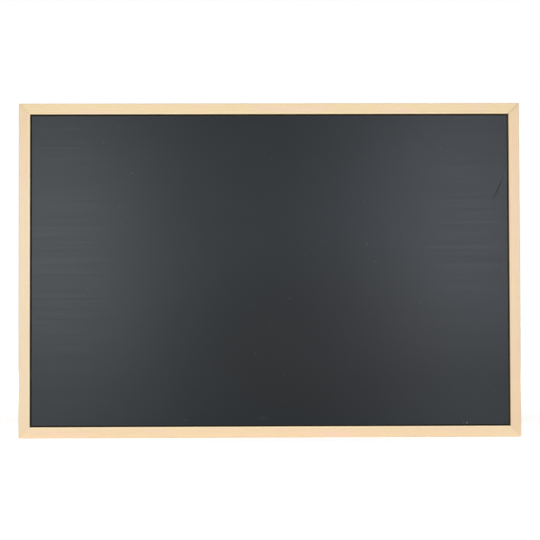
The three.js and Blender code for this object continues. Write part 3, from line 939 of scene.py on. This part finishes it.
def threadRings():
    # heights and radii of the shank, from its point to the head
    size = screwSizes
    sides, length = size["sides"], size["length"]
    tipLength, tipShare = size["tip"]
    neckLength, neckShare = size["neck"]
    count = int(length / size["pitch"] * size["rowsPerTurn"])
    rings = []
    for i in range(1, count):
        fromTip = length * i / count
        height = fromTip - length
        taper = min(1, fromTip / tipLength)
        ridge = size["thread"] * (neckShare if height > -neckLength else 1)
        radii = []
        for k in range(sides):
            phase = (height / size["pitch"] - k / sides) % 1
            crest = max(0, 1 - abs(phase - 0.5) * size["threadFlank"])
            radius = size["shank"] / 2 - size["thread"] + ridge * crest
            radii.append(radius * (tipShare + (1 - tipShare) * taper))
        rings.append((height, radii))
    return rings


def crossWing(turn):
    # one bar of the cross
    span, width = screwSizes["recess"]
    rows = []
    for up, share in screwSizes["recessTaper"]:
        y, a, b = screwSizes["headHeight"] + up, span * share, width * share
        rows.append([(-a, y, -b), (a, y, -b), (a, y, b), (-a, y, b)])
    wing = capped("wing", rows)
    wing.transform(Matrix.Rotation(math.radians(turn), 4, "Y"))
    return wing


def screwMesh(x, z, turn):
    size = screwSizes
    head, high = size["head"] / 2, size["headHeight"]
    rimEasing, rimHeight = size["rim"]
    outline = [(head - rimEasing, 0), (head, rimEasing), (head, rimHeight)]
    for angle in range(size["domeStep"], 90, size["domeStep"]):
        a = math.radians(angle)
        outline.append((head * math.cos(a), rimHeight + (high - rimHeight) * math.sin(a)))
    rings = threadRings() + [(height, [radius] * size["sides"]) for radius, height in outline]
    blank = turned("screw", rings, -size["length"], high)
    driven = cutBy(blank, [crossWing(turn), crossWing(turn + 90)])
    mesh = tidied(worked(driven, [easing(size["easing"], segments=1, angle=50)]))
    seat = backY + 2 * strapSizes["gauge"] + strapSizes["leafGap"]
    mesh.transform(Matrix.Translation(Vector((x, seat, z)) * mm))
    return mesh


for joint in frame["joints"]:
    side = joint["child"].split("_")[0]
    bar = Vector(joint["pos_m"]) / mm
    name = side + "_hanger"
    piece(name + "_folded_strap", strapMesh(bar.x, bar.z), zincPlate, [name + "_strap"],
          evenNormals=True)
    piece(name + "_wire_ring", ringMesh(bar), zincPlate, [name + "_ring"], joint["child"])
    for place, drop in zip(("upper", "lower"), strapSizes["screws"]):
        mesh = screwMesh(bar.x, bar.z - drop, screwSizes["turns"][side][place])
        piece(f"{name}_pan_screw_{place}", mesh, zincPlate, [f"{name}_screw_{place}"])
print("hangers made")


# Bumpers

bumperSizes = {
    "foot": 5.5,
    "footEasing": 0.2,
    "rim": 4.8,
    "height": 5,
    "round": 1.2,
    "roundSteps": 10,
    "sides": 64,
    "dish": ((2.6, 0), (2.1, 0.126), (1.2, 0.18)),  # radius and depth of the hollow in its top
}


def bumperMesh(x, z):
    size = bumperSizes
    foot, eased, top, curve = size["foot"], size["footEasing"], size["height"], size["round"]
    profile = [(foot - eased, 0), (foot, eased)]
    profile += arc((size["rim"] - curve, top - curve), curve, 0, 90, size["roundSteps"])
    profile += [(radius, top - depth) for radius, depth in size["dish"]]
    rings = [(height, [radius] * size["sides"]) for radius, height in profile]
    mesh = turned("bumper", rings, 0, top - size["dish"][-1][1])
    mesh.transform(Matrix.Translation(Vector((x, backY, z)) * mm))
    return mesh


for side in ("left", "right"):
    low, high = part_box(side + "_bumper")
    middle = (low + high) / 2 / mm
    piece(side + "_rubber_bumper", bumperMesh(middle.x, middle.z), rubber, [side + "_bumper"])
print("bumpers made")


# Studio

studio = {
    "surround": 0.07,  # strength of the pale surround on the object; the camera sees it as white
    "floorTone": "#E8E8E6",
    "floorRoughness": (0.85, 0.95),
    "floorUneven": 400,
    "floorReach": 12,  # metres each way
    "floorDrop": 0.2,  # below the board
    # the floor's own white to the camera is less in a patch behind the board, where its shadow falls
    "glowCentre": 400,
    "glowStretch": 2.5,  # how much wider the patch is than deep
    "floorGlow": (200, 800, 0.5, 1),
}

# Metres; the two in front stand close beside the camera and give the sheet its two soft sheens
lamps = {
    "left_softbox": {"at": (-0.73, -2.0, 0.44), "size": (0.29, 0.87), "radiance": 22.3},
    "right_softbox": {"at": (0.676, -2.0, 0.5), "size": (0.29, 0.9), "radiance": 19.5, "tint": "#FFFBFF"},
    "overhead_softbox": {"at": (0, 0.15, 1.9), "aim": (0, 0.05, 0), "size": (1.4, 1.0), "radiance": 1.5},
    "low_card": {"at": (0, -0.95, 0.03), "aim": (0, 0, 0.1), "size": (1.6, 0.3), "radiance": 1.8,
                 "inGloss": False},
    "left_back_softbox": {"at": (-1.3, 1.7, 0.9), "size": (0.9, 0.9), "radiance": 6.5},
    "right_back_softbox": {"at": (1.3, 1.7, 0.9), "size": (0.9, 0.9), "radiance": 5.5},
}

cameraView = {
    "place": (-0.0199, -2.2962, 0.2461),  # metres
    "aim": (0.0004, 0, 0.3),
    "roll": 0.166,  # degrees
    "lens": 85,
    "sensor": 36,
    "clip": (0.05, 50),  # metres
}


def whiteToTheEye(tree, dim, bright):
    # a strength that is dim for light on the object and bright for what the camera, gloss and glass see
    seen = addNode(tree, "LightPath").node.outputs
    eye = seen["Is Camera Ray"]
    for ray in ("Is Glossy Ray", "Is Transmission Ray"):
        eye = addNode(tree, "Math", [eye, seen[ray]], operation="MAXIMUM")
    return addNode(tree, "MapRange", [eye, 0, 1, dim, bright])


world = bpy.data.worlds.new("pale_surround")
world.use_nodes = True
world.node_tree.nodes.clear()
sky = addNode(world.node_tree, "Background", {
    "Color": (1, 1, 1, 1), "Strength": whiteToTheEye(world.node_tree, studio["surround"], 1)})
addNode(world.node_tree, "OutputWorld", {"Surface": sky})
bpy.context.scene.world = world


def paintedFloor():
    # Smooth painted board: matt white, faintly uneven from the roller.
    material, tree = newMaterial("painted_floor")
    place = millimetres(tree)
    uneven = addNode(tree, "TexNoise", {
        "Vector": inUnits(tree, place, [studio["floorUneven"]] * 3), "Scale": 1})
    away = stretchedDistance(tree, place, (0, studio["glowCentre"], 0), (studio["glowStretch"], 1, 1))
    white = addNode(tree, "MapRange", [away, *studio["floorGlow"]])
    addSurface(tree, {
        "Base Color": studio["floorTone"], "Specular IOR Level": 0, "Emission Color": (1, 1, 1, 1),
        "Emission Strength": whiteToTheEye(tree, 0, white)}, (uneven, studio["floorRoughness"]))
    return material


reach, drop = studio["floorReach"], studio["floorDrop"] * mm
corners = [(-reach, -reach, -drop), (reach, -reach, -drop), (reach, reach, -drop), (-reach, reach, -drop)]
floorMesh = bpy.data.meshes.new("floor")
floorMesh.from_pydata(corners, [], [(0, 1, 2, 3)])
floorMesh.materials.append(paintedFloor())
floor = inScene("floor", floorMesh)

for name, lamp in lamps.items():
    width, height = lamp["size"]
    data = bpy.data.lights.new(name, "AREA")
    data.shape = "RECTANGLE"
    data.size, data.size_y = width, height
    data.energy = lamp["radiance"] * math.pi * width * height
    data.color = colour(lamp.get("tint", "#FFFFFF"))[:3]
    light = inScene(name, data)
    light.location = lamp["at"]
    towards = Vector(lamp.get("aim", cameraView["aim"])) - light.location
    light.rotation_euler = towards.to_track_quat("-Z", "Y").to_euler()
    light.visible_camera = False
    light.visible_glossy = lamp.get("inGloss", True)

cameraData = bpy.data.cameras.new("camera")
cameraData.lens, cameraData.sensor_width = cameraView["lens"], cameraView["sensor"]
cameraData.clip_start, cameraData.clip_end = cameraView["clip"]
camera = inScene("camera", cameraData)
camera.location = cameraView["place"]
towards = Vector(cameraView["aim"]) - camera.location
camera.rotation_mode = "QUATERNION"
camera.rotation_quaternion = (towards.to_track_quat("-Z", "Y")
                              @ Matrix.Rotation(math.radians(-cameraView["roll"]), 3, "Z").to_quaternion())
bpy.context.scene.camera = camera
bpy.context.scene.view_settings.view_transform = "Standard"
print("studio set")
